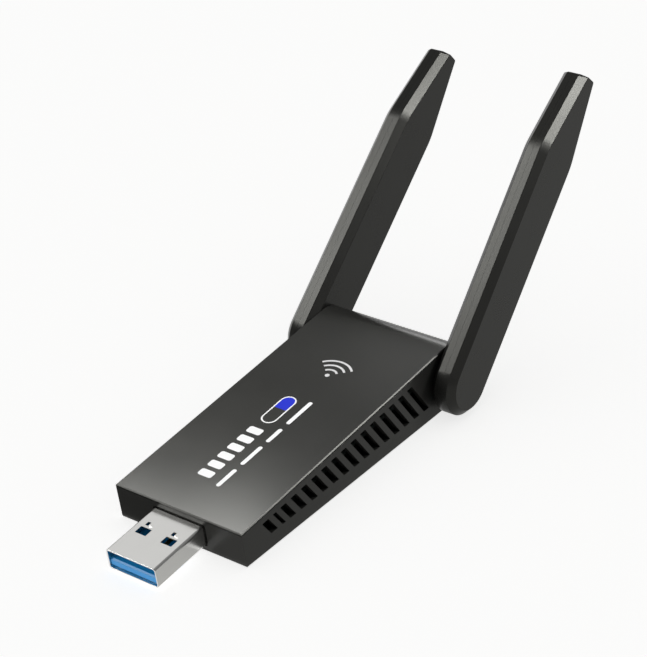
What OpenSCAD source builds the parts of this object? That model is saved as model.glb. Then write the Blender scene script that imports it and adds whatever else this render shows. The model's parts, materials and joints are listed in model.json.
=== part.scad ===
// USB wireless adapter: a wedge-shaped case with a type-A plug at its thin end and two paddle
// antennas that fold about a round barrel at its thick end.
// Row frame: +Z up, +Y from the plug towards the hinges, origin at the centre of the flat underside.

/* [Case] */
// Width of the case across the two side walls
case_w = 30.6; // [28:0.2:34]
// Height of the front wall, which the plug comes out of
front_h = 7.7; // [7.4:0.1:8.4]
// Distance from the front wall to the hinge axis, along the top
hinge_run = 65; // [62:0.5:68]
// Radius of the barrel at the hinge end
barrel_r = 6.86; // [6.5:0.02:7.2]
// Thickness of the case walls
wall = 1.3; // [1.2:0.05:1.4]
// Depth of the parting line below the top edge
skin = 0.4; // [0.3:0.05:0.6]

/* [Plug] */
// Width of the plug shell
plug_w = 12; // [12:0.1:12.2]
// Height of the plug shell
plug_h = 4.5; // [4.5:0.1:4.6]
// Length of the plug shell outside the case
plug_out = 13.75; // [12:0.25:14]
// Whole length of the plug shell
plug_len = 18.75; // [18:0.25:19]
// Height of the plug above the front bottom edge
plug_lift = 1.4; // [1.4:0.05:1.5]
// Thickness of the plug's sheet metal
sheet = 0.3; // [0.25:0.05:0.35]

/* [Vents] */
// Number of vent slots on each side
vent_count = 16; // [12:1:16]
// Distance from one slot to the next
vent_pitch = 3.13; // [3:0.01:3.15]
// Lean of the slots from upright, lower end towards the hinge
vent_slant = 29.5; // [20:0.5:32]
// Width of a slot, along the side
vent_w = 1.65; // [1.3:0.05:1.8]

/* [Antennas] */
// Distance from the hinge axis to an antenna's tip
ant_len = 66.5; // [64:0.5:68]
// Radius of an antenna's round end, and half its width
ant_r = 6.8; // [6.5:0.05:6.86]
// Thickness of an antenna
ant_t = 5.6; // [5.4:0.1:6]
// Bevel along an antenna's edges
ant_bevel = 1.4; // [1.2:0.05:1.5]
// Distance from the hinge axis to where an antenna starts to taper
ant_bend = 49.4; // [46:0.2:52]
// Half width of an antenna's tip
tip_half = 2.86; // [2.6:0.02:3.2]
// Lean of the right antenna back from upright
lean_right = 43.5; // [0:0.5:88]
// Lean of the left antenna back from upright
lean_left = 48.5; // [0:0.5:88]
// Gap between an antenna and the side of the case
ant_gap = 0.25; // [0.2:0.05:0.3]

/* [Hinge] */
// Radius of the hinge pin
pin_r = 2.5; // [2.4:0.05:2.6]
// Radial clearance of the pin in the case
pin_play = 0.05; // [0.03:0.01:0.08]
// Radius of the cable bore through the pin
pin_bore_r = 1.1; // [1:0.05:1.2]

/* [Circuit board] */
// Width of the circuit board
board_w = 25.4; // [24:0.2:26]
// Thickness of the circuit board
board_t = 1.0; // [0.8:0.1:1.2]
// Height of the board's underside above the front bottom edge
board_z = 1.55; // [1.5:0.05:1.6]
// Place of the board's front edge behind the front wall's outer face
board_y0 = 2.0; // [1.8:0.1:2.4]
// Place of the board's rear edge behind the front wall's outer face
board_y1 = 56.5; // [54:0.5:57]

/* [Hidden] */

// Fineness of round holes, pins and arcs
$fn = 48;
// Overlap that lets a cut run through a face
eps = 0.05;

// The underside is the line from the front bottom edge that just touches the barrel.
hinge_z = front_h - barrel_r;
hinge_reach = sqrt(hinge_run * hinge_run + hinge_z * hinge_z);
underside_tilt = asin(barrel_r / hinge_reach) - atan2(hinge_z, hinge_run);
foot_len = sqrt(hinge_reach * hinge_reach - barrel_r * barrel_r);

// Where the cover's curved rear wall ends, below the hinge axis
rear_seam_angle = -35;
// Width of the rim of a side wall, outside the cover's inner layer
rim = 0.7;
// Gap between parts that are pushed together
snug = 0.05;

// Vents: the first is a little wider and the second is narrow, and the rest are alike
vent_top = 1.8;
vent_foot = 3.1;
vent_y0 = 5.7;
vent_y1 = 8.9;
vent_y2 = 11.1;

// Plug tongue and its contacts
tongue_h = 1.9;
pad_w = 1.0;
pad_x = [-3.5, -1, 1, 3.5];
spring_x = [-3.5, -1.75, 0, 1.75, 3.5];
contact_t = 0.12;
spring_end = 0.55;

// Hinge stations, measured inwards from the outside of the case wall
boss_r = 4.4;
boss_in = 3.05;
ring_seat = 0.7;
ring_r = 4.1;
clip_t = 0.6;
groove_r = 2.0;
pin_in = 4.6;
flange_t = 0.8;
flange_r = 3.7;

// Antenna inside
ant_wall = 1.1;
ant_split = ant_t / 2;
lip_h = 0.7;
lip_t = 0.7;
lip_in = ant_wall + 0.08;
floor_x = ant_wall + 0.02;
tip_round = 1.0;
taper = atan((ant_r - tip_half) / (ant_len - ant_bend));
coax_d = 1.13;
strip_x = 2.3;
strip_t = 0.6;

// Board furniture
board_top = board_z + board_t;
shield_y = 32;
shield_w = 18;
shield_l = 24;
shield_h = 1.7;
shield_sheet = 0.2;
pad_gap = 0.55;
spreader_t = 0.9;
coax_socket_x = 8.2;
coax_socket_y = 51.5;
post_places = [[10.6, 10], [10.6, 46.2]];

// Routes of the aerial leads: from the plug on the board, over its rear edge and round to the hinge pin;
// then, in an antenna's own frame, from the pin's inner end through the pin and up to the feed point.
case_route = [[8.2, 53.1, 3.62], [8.2, 54.6, 3.6], [8.1, 56.4, 3.4], [7.5, 58.5, 2.7], [6.6, 60.5, 1.9],
    [6.1, 62.2, 1.3], [6.2, 63.4, 1.0], [6.8, 64.4, 0.86], [7.8, 64.9, 0.84], [9, 65, 0.84],
    [10.65, 65, 0.84]];
antenna_route = [[-4.85, 0, 0], [-2, 0, 0], [0.6, 0, 0], [1.6, 0, 0.06], [2.6, 0, 0.6], [3.3, 0, 1.8],
    [3.6, 0, 3.4], [3.62, 0, 5], [3.62, 0, 12], [3.62, 0, 19], [3.62, 0, 27]];

// ---- helpers -------------------------------------------------------------------------------

function arc(centre, r, from, to, steps) =
    [for (i = [0:steps]) let (a = from + (to - from) * i / steps) centre + r * [cos(a), sin(a)]];

function rounded_rectangle(w, h, r, steps = 5) = concat(
    arc([w / 2 - r, h / 2 - r], r, 0, 90, steps),
    arc([-w / 2 + r, h / 2 - r], r, 90, 180, steps),
    arc([-w / 2 + r, -h / 2 + r], r, 180, 270, steps),
    arc([w / 2 - r, -h / 2 + r], r, 270, 360, steps));

// Puts something drawn in the plug's frame (y from the front wall, z from its bottom edge) on the underside.
module in_row() {
    translate([0, -foot_len / 2, 0]) rotate([underside_tilt, 0, 0]) children();
}

// A solid of constant section across the case: the section is drawn with x = run and y = height.
module across(width) {
    rotate([90, 0, 90]) translate([0, 0, -width / 2]) linear_extrude(width) children();
}

// A solid that runs along the plug, from y0 to y1: the section is drawn with x = width and y = height.
module along(y0, y1) {
    translate([0, y1, 0]) rotate([90, 0, 0]) linear_extrude(y1 - y0) children();
}

module block(x0, x1, y0, y1, z0, z1) {
    translate([x0, y0, z0]) cube([x1 - x0, y1 - y0, z1 - z0]);
}

// A round solid on the hinge axis, from x0 to x1.
module on_hinge(x0, x1, r) {
    translate([x0, hinge_run, hinge_z]) rotate([0, 90, 0]) cylinder(h = x1 - x0, r = r);
}

module both_sides() {
    children();
    mirror([1, 0, 0]) children();
}

// A tube swept along points, with a ring at each point, turned to face the mean of its two stretches.
function unit(v) = v / norm(v);
function heading(path, i) = unit(
    (i < len(path) - 1 ? unit(path[i + 1] - path[i]) : [0, 0, 0])
    + (i > 0 ? unit(path[i] - path[i - 1]) : [0, 0, 0]));
function ring_points(centre, dir, side, r, n) =
    let (u = unit(side - (side * dir) * dir), v = cross(dir, u))
    [for (k = [0:n - 1]) centre + r * (cos(360 * k / n) * u + sin(360 * k / n) * v)];
module swept_tube(path, r, side = [0, 0, 1], n = 8) {
    m = len(path);
    rings = [for (i = [0:m - 1]) each ring_points(path[i], heading(path, i), side, r, n)];
    walls = [for (i = [0:m - 2], k = [0:n - 1], half = [0, 1]) let (j = (k + 1) % n)
        half == 0 ? [i * n + k, (i + 1) * n + k, (i + 1) * n + j] : [i * n + k, (i + 1) * n + j, i * n + j]];
    ends = [[for (k = [0:n - 1]) k], [for (k = [n - 1:-1:0]) (m - 1) * n + k]];
    polyhedron(points = rings, faces = concat(walls, ends), convexity = 6);
}

// ---- case ----------------------------------------------------------------------------------

// The side outline of the case, with its top and barrel, its underside and its front moved inwards.
module case_outline(top_in = 0, under_in = 0, front_in = 0) {
    front_foot = (under_in - front_in * sin(underside_tilt)) / cos(underside_tilt);
    under_r = barrel_r - under_in;
    polygon([
        [front_in, front_foot],
        [front_in, front_h - top_in],
        [hinge_run, front_h - top_in],
        [hinge_run, hinge_z],
        [hinge_run - under_r * sin(underside_tilt), hinge_z - under_r * cos(underside_tilt)]]);
    translate([hinge_run, hinge_z]) circle(barrel_r - max(top_in, under_in));
}

// Everything that belongs to the cover: above the parting line, and round the barrel to the rear seam.
module cover_zone(depth, front = -eps) {
    reach = 3 * barrel_r;
    translate([front, front_h - depth]) square([hinge_run - front, depth + eps]);
    difference() {
        translate([hinge_run, hinge_z]) circle(barrel_r + eps);
        translate([hinge_run, hinge_z]) circle(barrel_r - depth);
        translate([hinge_run, hinge_z]) polygon([
            [0, 0], reach * [cos(rear_seam_angle), sin(rear_seam_angle)],
            [0, -reach], [-reach, -reach], [-reach, reach], [0, reach]]);
    }
}

module vent_slot(i) {
    width = i == 0 ? vent_w + 0.2 : i == 1 ? vent_w - 0.75 : vent_w;
    y = i == 0 ? vent_y0 : i == 1 ? vent_y1 : vent_y2 + (i - 2) * vent_pitch;
    top = front_h - vent_top;
    // the foot follows the underside
    foot = vent_foot - (y + (top - vent_foot) * tan(vent_slant)) * tan(underside_tilt);
    drop = (top - foot) * tan(vent_slant);
    both_sides() translate([case_w / 2, 0, 0]) across(2 * wall + 0.4)
        polygon([[y, top], [y + width, top], [y + width + drop, foot], [y + drop, foot]]);
}

// A clip on the cover that snaps under a ledge in the side wall.
module snap_hook(y) {
    x = case_w / 2 - wall - snug;
    z = front_h - wall;
    block(x - 0.8, x, y - 1.3, y + 1.3, z - 2.6, z + eps);
    block(x - eps, x + 0.4, y - 1.3, y + 1.3, z - 2.6, z - 2.0);
}
hook_places = [3.7, 58.4];

module top_cover() color([0.19, 0.19, 0.185]) in_row() difference() {
    union() {
        across(case_w) intersection() {
            case_outline();
            cover_zone(skin);
        }
        across(case_w - 2 * rim - 2 * snug) intersection() {
            case_outline(front_in = rim + snug);
            cover_zone(wall);
        }
        both_sides() for (y = hook_places) snap_hook(y);
        // posts that hold the board down
        both_sides() for (p = post_places)
            translate([p[0], p[1], board_top + snug])
                cylinder(h = front_h - wall / 2 - board_top - snug, r = 1.6);
    }
    both_sides() for (p = post_places)
        translate([p[0], p[1], board_top - eps]) cylinder(h = 1.6, r = 0.95);
}

module bottom_cover() color([0.19, 0.19, 0.185]) in_row() difference() {
    union() {
        difference() {
            across(case_w) difference() {
                case_outline();
                cover_zone(skin);
            }
            across(case_w - 2 * rim) cover_zone(wall, rim);
            across(case_w - 2 * wall) case_outline(top_in = -eps, under_in = wall, front_in = wall);
        }
        // bosses that carry the hinge pins
        both_sides() on_hinge(case_w / 2 - boss_in, case_w / 2 - wall + eps, boss_r);
        // posts under the board, each with a pin that locates it
        both_sides() for (p = post_places) {
            foot = -p[1] * tan(underside_tilt) + wall / 2;
            translate([p[0], p[1], foot]) cylinder(h = board_z - snug - foot, r = 1.6);
            translate([p[0], p[1], foot]) cylinder(h = board_top + 1.2 - foot, r = 0.8);
        }
    }
    for (i = [0:vent_count - 1]) vent_slot(i);
    // mouth for the plug, with a shallow step round it
    translate([0, 0, plug_lift + plug_h / 2]) {
        along(-1, wall + 1) polygon(rounded_rectangle(plug_w + 0.2, plug_h + 0.2, 0.6));
        along(-1, 0.4) polygon(rounded_rectangle(plug_w + 1.7, plug_h + 1.7, 0.9));
    }
    both_sides() {
        on_hinge(case_w / 2 - boss_in - eps, case_w / 2 + eps, pin_r + pin_play);
        on_hinge(case_w / 2 - ring_seat, case_w / 2 + eps, ring_r + 0.1);
        for (y = hook_places)
            block(case_w / 2 - wall - eps, case_w / 2 - wall + 0.5, y - 1.5, y + 1.5,
                front_h - wall - 2.7, front_h - wall - 1.9);
    }
}

// ---- plug ----------------------------------------------------------------------------------

module plug_section(inset, r) {
    translate([0, plug_lift + plug_h / 2])
        polygon(rounded_rectangle(plug_w - 2 * inset, plug_h - 2 * inset, r));
}

// The latch window and the small lanced window behind it.
module plug_windows() {
    for (x = [-3.1, 3.1]) {
        block(x - 1.25, x + 1.25, -plug_out + 6.4, -plug_out + 8.2, plug_lift - 1, plug_lift + plug_h + 1);
        block(x - 0.75, x, -plug_out + 8.95, -plug_out + 9.75, plug_lift + plug_h - 1, plug_lift + plug_h + 1);
    }
}

module usb_shell() color([0.78, 0.78, 0.77]) in_row() {
    plug_in = plug_len - plug_out;
    difference() {
        along(-plug_out, plug_in) plug_section(0, 0.55);
        along(-plug_out - 1, plug_in + 1) plug_section(sheet, 0.3);
        plug_windows();
    }
    // ears that solder into the board
    both_sides() block(plug_w / 2 - sheet, plug_w / 2 + 0.6, 2.6, 4.4, plug_lift + 0.3, board_z + 0.45);
}

// The section of what fills the shell, from its floor up.
module plug_fill() {
    h = plug_h - 2 * sheet - 0.05;
    translate([0, h / 2]) polygon(rounded_rectangle(plug_w - 2 * sheet - 0.1, h, 0.4));
}

module usb_tongue() color([0.13, 0.5, 0.86]) in_row() difference() {
    z0 = plug_lift + sheet + 0.02;
    along(-plug_out + 0.35, spring_end - snug) translate([0, z0]) difference() {
        plug_fill();
        translate([-plug_w / 2, tongue_h]) square([plug_w, plug_h]);
    }
    // beds for the contact pads
    for (x = pad_x)
        block(x - pad_w / 2, x + pad_w / 2, -plug_out + 2.6, -plug_out + 10.2,
            z0 + tongue_h - contact_t, z0 + tongue_h + 1);
}

module usb_contact_pads() color([0.9, 0.72, 0.35]) in_row() {
    z = plug_lift + sheet + 0.02 + tongue_h;
    for (x = pad_x)
        block(x - pad_w / 2 + 0.02, x + pad_w / 2 - 0.02, -plug_out + 2.65, -plug_out + 10.15,
            z - contact_t + 0.01, z + 0.03);
}

// Five sprung contacts behind the pads, each a bent strip that rises from the rear insulator.
module usb_contact_springs() color([0.9, 0.72, 0.35]) in_row() {
    z = plug_lift + sheet + 0.02 + tongue_h;
    y = -plug_out + 10.6;
    for (x = spring_x) translate([x, 0, 0]) across(0.6) polygon([
        [y, z + 0.35], [y + 0.6, z + 0.75], [y + 1.2, z + 0.35], [spring_end, z + 0.2],
        [spring_end, z + 0.08], [y + 1.1, z + 0.2], [y + 0.6, z + 0.58], [y + 0.1, z + 0.22]]);
}

module usb_rear_insulator() color([0.08, 0.08, 0.09]) in_row() {
    along(spring_end, plug_len - plug_out - 0.2) translate([0, plug_lift + sheet + 0.02]) plug_fill();
}

// ---- circuit board -------------------------------------------------------------------------

module circuit_board() color([0.05, 0.09, 0.07]) in_row() difference() {
    block(-board_w / 2, board_w / 2, board_y0, board_y1, board_z, board_top);
    // slot that the plug sits in
    block(-plug_w / 2 - 0.1, plug_w / 2 + 0.1, board_y0 - 1, plug_len - plug_out + 0.2, board_z - 1, board_top + 1);
    both_sides() {
        block(plug_w / 2 - eps, plug_w / 2 + 0.75, 2.5, 4.5, board_z - 1, board_top + 1);
        for (p = post_places) translate([p[0], p[1], board_z - 1]) cylinder(h = board_t + 2, r = 0.9);
    }
}

// A chip that sits on the board with a hair's gap, centred at x and y.
module chip(x, y, w, l, h) {
    block(x - w / 2, x + w / 2, y - l / 2, y + l / 2, board_top + 0.02, board_top + 0.02 + h);
}

module wifi_chip() color([0.1, 0.1, 0.1]) in_row() chip(0, 30, 9, 9, 0.85);
module chip_thermal_pad() color([0.55, 0.62, 0.7]) in_row()
    block(-4, 4, 26, 34, board_top + 0.89, board_top + shield_h - shield_sheet - 0.04);
module flash_memory() color([0.1, 0.1, 0.1]) in_row() chip(0, 49.5, 5, 6, 0.8);
module crystal() color([0.75, 0.75, 0.74]) in_row() chip(5.5, 37.5, 3.2, 2.5, 0.7);
module rf_amplifiers() color([0.1, 0.1, 0.1]) in_row() both_sides() chip(6.2, 41, 2.6, 2.6, 0.7);

module shield_frame() color([0.72, 0.72, 0.7]) in_row() difference() {
    chip(0, shield_y, shield_w, shield_l, shield_h - 0.25);
    block(-shield_w / 2 + shield_sheet, shield_w / 2 - shield_sheet,
        shield_y - shield_l / 2 + shield_sheet, shield_y + shield_l / 2 - shield_sheet,
        board_top - 1, board_top + shield_h + 1);
}

module shield_lid() color([0.8, 0.8, 0.78]) in_row() {
    gap = 0.04;
    w = shield_w / 2 + gap + shield_sheet;
    l = shield_l / 2 + gap + shield_sheet;
    difference() {
        block(-w, w, shield_y - l, shield_y + l, board_top + 0.3, board_top + shield_h);
        block(-w + shield_sheet, w - shield_sheet, shield_y - l + shield_sheet, shield_y + l - shield_sheet,
            board_top, board_top + shield_h - shield_sheet);
    }
}

module lid_thermal_pad() color([0.55, 0.62, 0.7]) in_row()
    block(-7, 7, shield_y - 9, shield_y + 9, board_top + shield_h + 0.02, board_top + shield_h + pad_gap - 0.02);

// Aluminium plate with low ribs that spreads the chip's heat under the cover.
module heat_spreader() color([0.66, 0.67, 0.69]) in_row() {
    z = board_top + shield_h + pad_gap;
    half_l = 17;
    block(-8.6, 8.6, shield_y - half_l, shield_y + half_l, z, z + spreader_t);
    for (i = [-4:4])
        block(i * 1.9 - 0.35, i * 1.9 + 0.35, shield_y - half_l + 1, shield_y + half_l - 1,
            z + spreader_t - eps, z + spreader_t + 0.35);
}

module power_inductors() color([0.2, 0.2, 0.21]) in_row() for (y = [13.5, 17.2]) chip(-6.2, y, 3, 3, 1.5);
module voltage_regulators() color([0.1, 0.1, 0.1]) in_row() for (y = [13.5, 17.2]) chip(-2, y, 2.6, 2.8, 0.8);
module usb_line_filters() color([0.16, 0.16, 0.17]) in_row() for (x = [-3, 0, 3]) chip(x, 9.4, 1.2, 2, 0.8);
module chip_capacitors() color([0.62, 0.52, 0.38]) in_row() {
    for (i = [0:4]) chip(2.4 + 1.5 * i, 13.2, 0.8, 1.6, 0.7);
    for (i = [0:4]) chip(2.4 + 1.5 * i, 17, 0.8, 1.6, 0.7);
    both_sides() for (i = [0:2]) chip(4.5 + 1.6 * i, 47, 0.7, 1.3, 0.5);
}

// ---- aerial leads in the case --------------------------------------------------------------

module coax_sockets() color([0.8, 0.7, 0.45]) in_row() both_sides() {
    chip(coax_socket_x, coax_socket_y, 2.6, 2.6, 0.35);
    translate([coax_socket_x, coax_socket_y, board_top + 0.3]) cylinder(h = 0.9, r = 0.95);
}

module coax_plug() color([0.8, 0.7, 0.45]) in_row() difference() {
    union() {
        translate([coax_socket_x, coax_socket_y, board_top + 0.5]) cylinder(h = 1.1, r = 1.45);
        block(coax_socket_x - 0.75, coax_socket_x + 0.75, coax_socket_y, coax_socket_y + 3,
            board_top + 0.5, board_top + 1.6);
    }
    translate([coax_socket_x, coax_socket_y, board_top]) cylinder(h = 1.25, r = 1);
    translate([coax_socket_x, coax_socket_y + 1.5, board_top + 0.5 + coax_d / 2]) rotate([-90, 0, 0])
        cylinder(h = 2, r = coax_d / 2 + 0.01);
}

module case_coax() color([0.15, 0.15, 0.15]) in_row() swept_tube(case_route, coax_d / 2);

module friction_ring() color([0.5, 0.5, 0.5]) in_row() difference() {
    on_hinge(case_w / 2 - ring_seat + 0.02, case_w / 2 + ant_gap - 0.1, ring_r);
    on_hinge(case_w / 2 - ring_seat - 1, case_w / 2 + 1, pin_r + 0.1);
}

// ---- antennas ------------------------------------------------------------------------------
// An antenna is drawn upright: z from the hinge axis to the tip, y across, x from its inner face outwards.

// The flat part of an antenna, with its edges moved inwards: x = across, y = up.
module blade_outline(inset) {
    lean_in = inset * tan(taper / 2);
    corner = max(tip_round, inset) - inset;
    end = ant_len - inset;
    half = ant_r - (end - corner - ant_bend) * tan(taper) - inset / cos(taper) - corner / cos(taper);
    right = concat([[ant_r - inset, 0], [ant_r - inset, ant_bend - lean_in]],
        arc([half, end - corner], corner, taper, 90, 4));
    left = [for (i = [len(right) - 1:-1:0]) [-right[i][0], right[i][1]]];
    polygon(concat(right, left));
}

// What one bevelled edge leaves of a plate: x = through the plate, y = across it.
module bevelled_edge() {
    polygon([[0, -3 * ant_r], [0, ant_r - ant_bevel], [ant_bevel, ant_r],
        [ant_t - ant_bevel, ant_r], [ant_t, ant_r - ant_bevel], [ant_t, -3 * ant_r]]);
}

// The whole outer shape of an antenna.
module blade() {
    rotate([0, 90, 0]) rotate([0, 0, -90]) rotate_extrude(angle = 180)
        polygon([[0, 0], [ant_r - ant_bevel, 0], [ant_r, ant_bevel],
            [ant_r, ant_t - ant_bevel], [ant_r - ant_bevel, ant_t], [0, ant_t]]);
    intersection() {
        rotate([90, 0, 90]) linear_extrude(ant_t) blade_outline(0);
        for_each_edge() linear_extrude(ant_len) bevelled_edge();
        for_each_edge() translate([0, ant_r, ant_bend]) rotate([taper, 0, 0])
            translate([0, -ant_r, -ant_len]) linear_extrude(2 * ant_len) bevelled_edge();
    }
}

module for_each_edge() {
    intersection() {
        children();
        mirror([0, 1, 0]) children();
    }
}

// The slice of an antenna's outer shape from x0 to x1.
module blade_slice(x0, x1) {
    intersection() {
        blade();
        translate([x0, -10, -10]) cube([x1 - x0, 20, 2 * ant_len]);
    }
}

// A plug that fills an antenna from x0 to x1, clear of its edges.
module blade_core(x0, x1, inset) {
    translate([x0, 0, 0]) rotate([90, 0, 90]) linear_extrude(x1 - x0) {
        circle(ant_r - inset);
        blade_outline(inset);
    }
}

module x_cylinder(x0, x1, r, sides = 48) {
    translate([x0, 0, 0]) rotate([0, 90, 0]) cylinder(h = x1 - x0, r = r, $fn = sides);
}

// Stands an antenna part on its hinge at the right side of the case.
module at_hinge(lean) {
    translate([case_w / 2 + ant_gap, foot_len / 2, barrel_r]) rotate([-lean, 0, 0]) children();
}

module antenna_shell() color([0.2, 0.2, 0.195]) {
    difference() {
        blade_slice(ant_split, ant_t + 1);
        blade_core(ant_split - 1, ant_t - ant_wall, ant_wall);
    }
    // collar that presses on the pin's flange, open towards the aerial for its lead
    difference() {
        x_cylinder(floor_x + flange_t + 0.04, ant_t - ant_wall / 2, flange_r);
        x_cylinder(floor_x, ant_t - ant_wall, flange_r - 0.8);
        translate([floor_x, -1, 0]) cube([ant_t - ant_wall - floor_x, 2, ant_r]);
    }
}

module antenna_cover() color([0.2, 0.2, 0.195]) difference() {
    union() {
        difference() {
            blade_slice(-1, ant_split - 0.02);
            blade_core(ant_wall, ant_t, ant_wall);
        }
        // lip that locates the shell
        difference() {
            blade_core(ant_wall - 0.3, ant_split + lip_h, lip_in);
            blade_core(ant_wall - 1, ant_t, lip_in + lip_t);
        }
        // six-sided pocket that turns the hinge pin
        difference() {
            x_cylinder(ant_wall - 0.3, floor_x + flange_t - 0.05, flange_r + 0.9);
            x_cylinder(0, ant_t, flange_r + 0.05, 6);
        }
        // ribs that the aerial board rests on
        for (z = [12, 30, 48]) translate([ant_wall - 0.3, -3, z]) cube([strip_x - ant_wall + 0.28, 6, 1]);
    }
    x_cylinder(-1, ant_split, pin_r + 0.01);
}

module hinge_pin() color([0.3, 0.3, 0.31]) difference() {
    union() {
        x_cylinder(-ant_gap - pin_in, floor_x + eps, pin_r);
        // six-sided flange, trapped between the cover and the shell
        x_cylinder(floor_x, floor_x + flange_t, flange_r, 6);
    }
    x_cylinder(-ant_gap - pin_in - 1, ant_t, pin_bore_r);
    difference() {
        x_cylinder(-ant_gap - boss_in - 0.1 - clip_t - 0.05, -ant_gap - boss_in - 0.05, pin_r + 1);
        x_cylinder(-ant_gap - pin_in - 1, ant_t, groove_r);
    }
}

// Spring-steel clip in the pin's groove, open at one side.
module retaining_clip() color([0.6, 0.6, 0.6]) difference() {
    x_cylinder(-ant_gap - boss_in - 0.08 - clip_t, -ant_gap - boss_in - 0.08, 3.6);
    x_cylinder(-ant_gap - boss_in - 2, 0, groove_r + 0.02);
    translate([-ant_gap - boss_in - 2, -1.2, -6]) cube([3, 2.4, 6]);
}

module antenna_board() color([0.05, 0.2, 0.12])
    translate([strip_x, 0, 0]) rotate([90, 0, 90]) linear_extrude(strip_t)
        polygon([[-3.4, 9], [3.4, 9], [3.4, 50], [1.2, 60.5], [-1.2, 60.5], [-3.4, 50]]);

// Copper of a two-band dipole: a feed, two short arms and two long arms.
module antenna_dipole() color([0.85, 0.55, 0.3]) {
    x = strip_x + strip_t + 0.01;
    foil = 0.05;
    for (s = [-1, 1]) {
        translate([x, s * 1.9 - 0.6, 11]) cube([foil, 1.2, 15]);
        translate([x, s * 1.9 - 0.6, 31]) cube([foil, 1.2, 15]);
    }
    translate([x, -0.6, 31]) cube([foil, 1.2, 23]);
    translate([x, -2.5, 28.6]) cube([foil, 5, 2.4]);
}

module antenna_coax() color([0.15, 0.15, 0.15]) swept_tube(antenna_route, coax_d / 2, [0, 1, 0]);

module left() { mirror([1, 0, 0]) children(); }

top_cover();
bottom_cover();
usb_shell();
usb_tongue();
usb_contact_pads();
usb_contact_springs();
usb_rear_insulator();
circuit_board();
wifi_chip();
chip_thermal_pad();
flash_memory();
crystal();
rf_amplifiers();
shield_frame();
shield_lid();
lid_thermal_pad();
heat_spreader();
power_inductors();
voltage_regulators();
usb_line_filters();
chip_capacitors();
coax_sockets();
coax_plug();  // right_coax_plug
left() coax_plug();  // left_coax_plug
case_coax();  // right_case_coax
left() case_coax();  // left_case_coax
friction_ring();  // right_friction_ring
left() friction_ring();  // left_friction_ring
at_hinge(lean_right) antenna_shell();  // right_antenna_shell
at_hinge(lean_right) antenna_cover();  // right_antenna_cover
at_hinge(lean_right) hinge_pin();  // right_hinge_pin
at_hinge(lean_right) retaining_clip();  // right_retaining_clip
at_hinge(lean_right) antenna_board();  // right_antenna_board
at_hinge(lean_right) antenna_dipole();  // right_antenna_dipole
at_hinge(lean_right) antenna_coax();  // right_antenna_coax
left() at_hinge(lean_left) antenna_shell();  // left_antenna_shell
left() at_hinge(lean_left) antenna_cover();  // left_antenna_cover
left() at_hinge(lean_left) hinge_pin();  // left_hinge_pin
left() at_hinge(lean_left) retaining_clip();  // left_retaining_clip
left() at_hinge(lean_left) antenna_board();  // left_antenna_board
left() at_hinge(lean_left) antenna_dipole();  // left_antenna_dipole
left() at_hinge(lean_left) antenna_coax();  // left_antenna_coax
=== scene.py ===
# %% [markdown]
# # A wireless adapter with two folding antennas
# This lesson dresses a finished engineering model for its portrait. The model comes in as a fixed frame:
# every piece is already where it belongs, in metres, and the two antennas already know how they turn.
# Blender's job is the looks: softly broken edges, vents with real walls, a folded-steel plug, printed marks
# and believable finishes.

# %% Load the frame
import json
import math

import bmesh
import bpy
from mathutils import Matrix, Vector


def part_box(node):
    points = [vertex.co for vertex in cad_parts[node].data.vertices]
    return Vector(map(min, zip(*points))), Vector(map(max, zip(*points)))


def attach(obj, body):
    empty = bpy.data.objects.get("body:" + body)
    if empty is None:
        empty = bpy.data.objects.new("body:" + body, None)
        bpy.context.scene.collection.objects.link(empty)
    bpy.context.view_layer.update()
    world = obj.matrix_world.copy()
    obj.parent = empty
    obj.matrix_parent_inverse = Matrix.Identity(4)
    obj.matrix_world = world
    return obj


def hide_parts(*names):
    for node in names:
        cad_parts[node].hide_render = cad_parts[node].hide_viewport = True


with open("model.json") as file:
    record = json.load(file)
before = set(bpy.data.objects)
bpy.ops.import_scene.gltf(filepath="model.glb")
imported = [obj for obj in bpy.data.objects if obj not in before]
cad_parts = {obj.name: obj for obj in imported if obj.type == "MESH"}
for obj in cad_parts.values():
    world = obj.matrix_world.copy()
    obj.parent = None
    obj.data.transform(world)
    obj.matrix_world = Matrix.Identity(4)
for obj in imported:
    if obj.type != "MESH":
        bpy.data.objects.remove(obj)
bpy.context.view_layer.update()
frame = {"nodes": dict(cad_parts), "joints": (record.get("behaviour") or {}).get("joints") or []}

mm = 0.001

# %% [markdown]
# ## Measures
# The adapter lies on its flat underside, but its plug and its top are not level: the case is a wedge.
# Everything that belongs to the case is drawn in the plug's own frame, where y runs back from the front
# wall and z is square to the plug, and one matrix then lays it on its underside. The hinge places come from
# the joints, and the angles that the antennas stand at come from their ranges.

# %% Case and hinge measures
joints = {joint["name"]: joint for joint in frame["joints"]}
hinge = Vector(joints["right_antenna_hinge"]["pos_m"])
barrel_r = hinge.z
foot_len = 2 * hinge.y
front_h = 7.7 * mm
hinge_z = front_h - barrel_r
hinge_reach = math.hypot(foot_len, barrel_r)
hinge_run = math.sqrt(hinge_reach ** 2 - hinge_z ** 2)
tilt = math.asin(barrel_r / hinge_reach) - math.atan2(hinge_z, hinge_run)
case_frame = Matrix.Translation((0, -foot_len / 2, 0)) @ Matrix.Rotation(tilt, 4, "X")

low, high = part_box("bottom_cover")
case_w = high[0] - low[0]
wall = 1.3 * mm
skin = 0.4 * mm
rim = 0.7 * mm
snug = 0.05 * mm
seam = 0.1 * mm
seam_angle = math.radians(-35)


def antenna_frame(side):
    """The frame of one antenna: z from its hinge to its tip, y across it, x from its inner face outwards."""
    joint = joints[side + "_antenna_hinge"]
    lean = math.radians(joint["range_deg"][1] - 90)
    mirror = Matrix.Scale(-1, 4, (1, 0, 0)) if side == "left" else Matrix.Identity(4)
    return mirror @ Matrix.Translation((hinge.x, hinge.y, hinge.z)) @ Matrix.Rotation(-lean, 4, "X")


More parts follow.
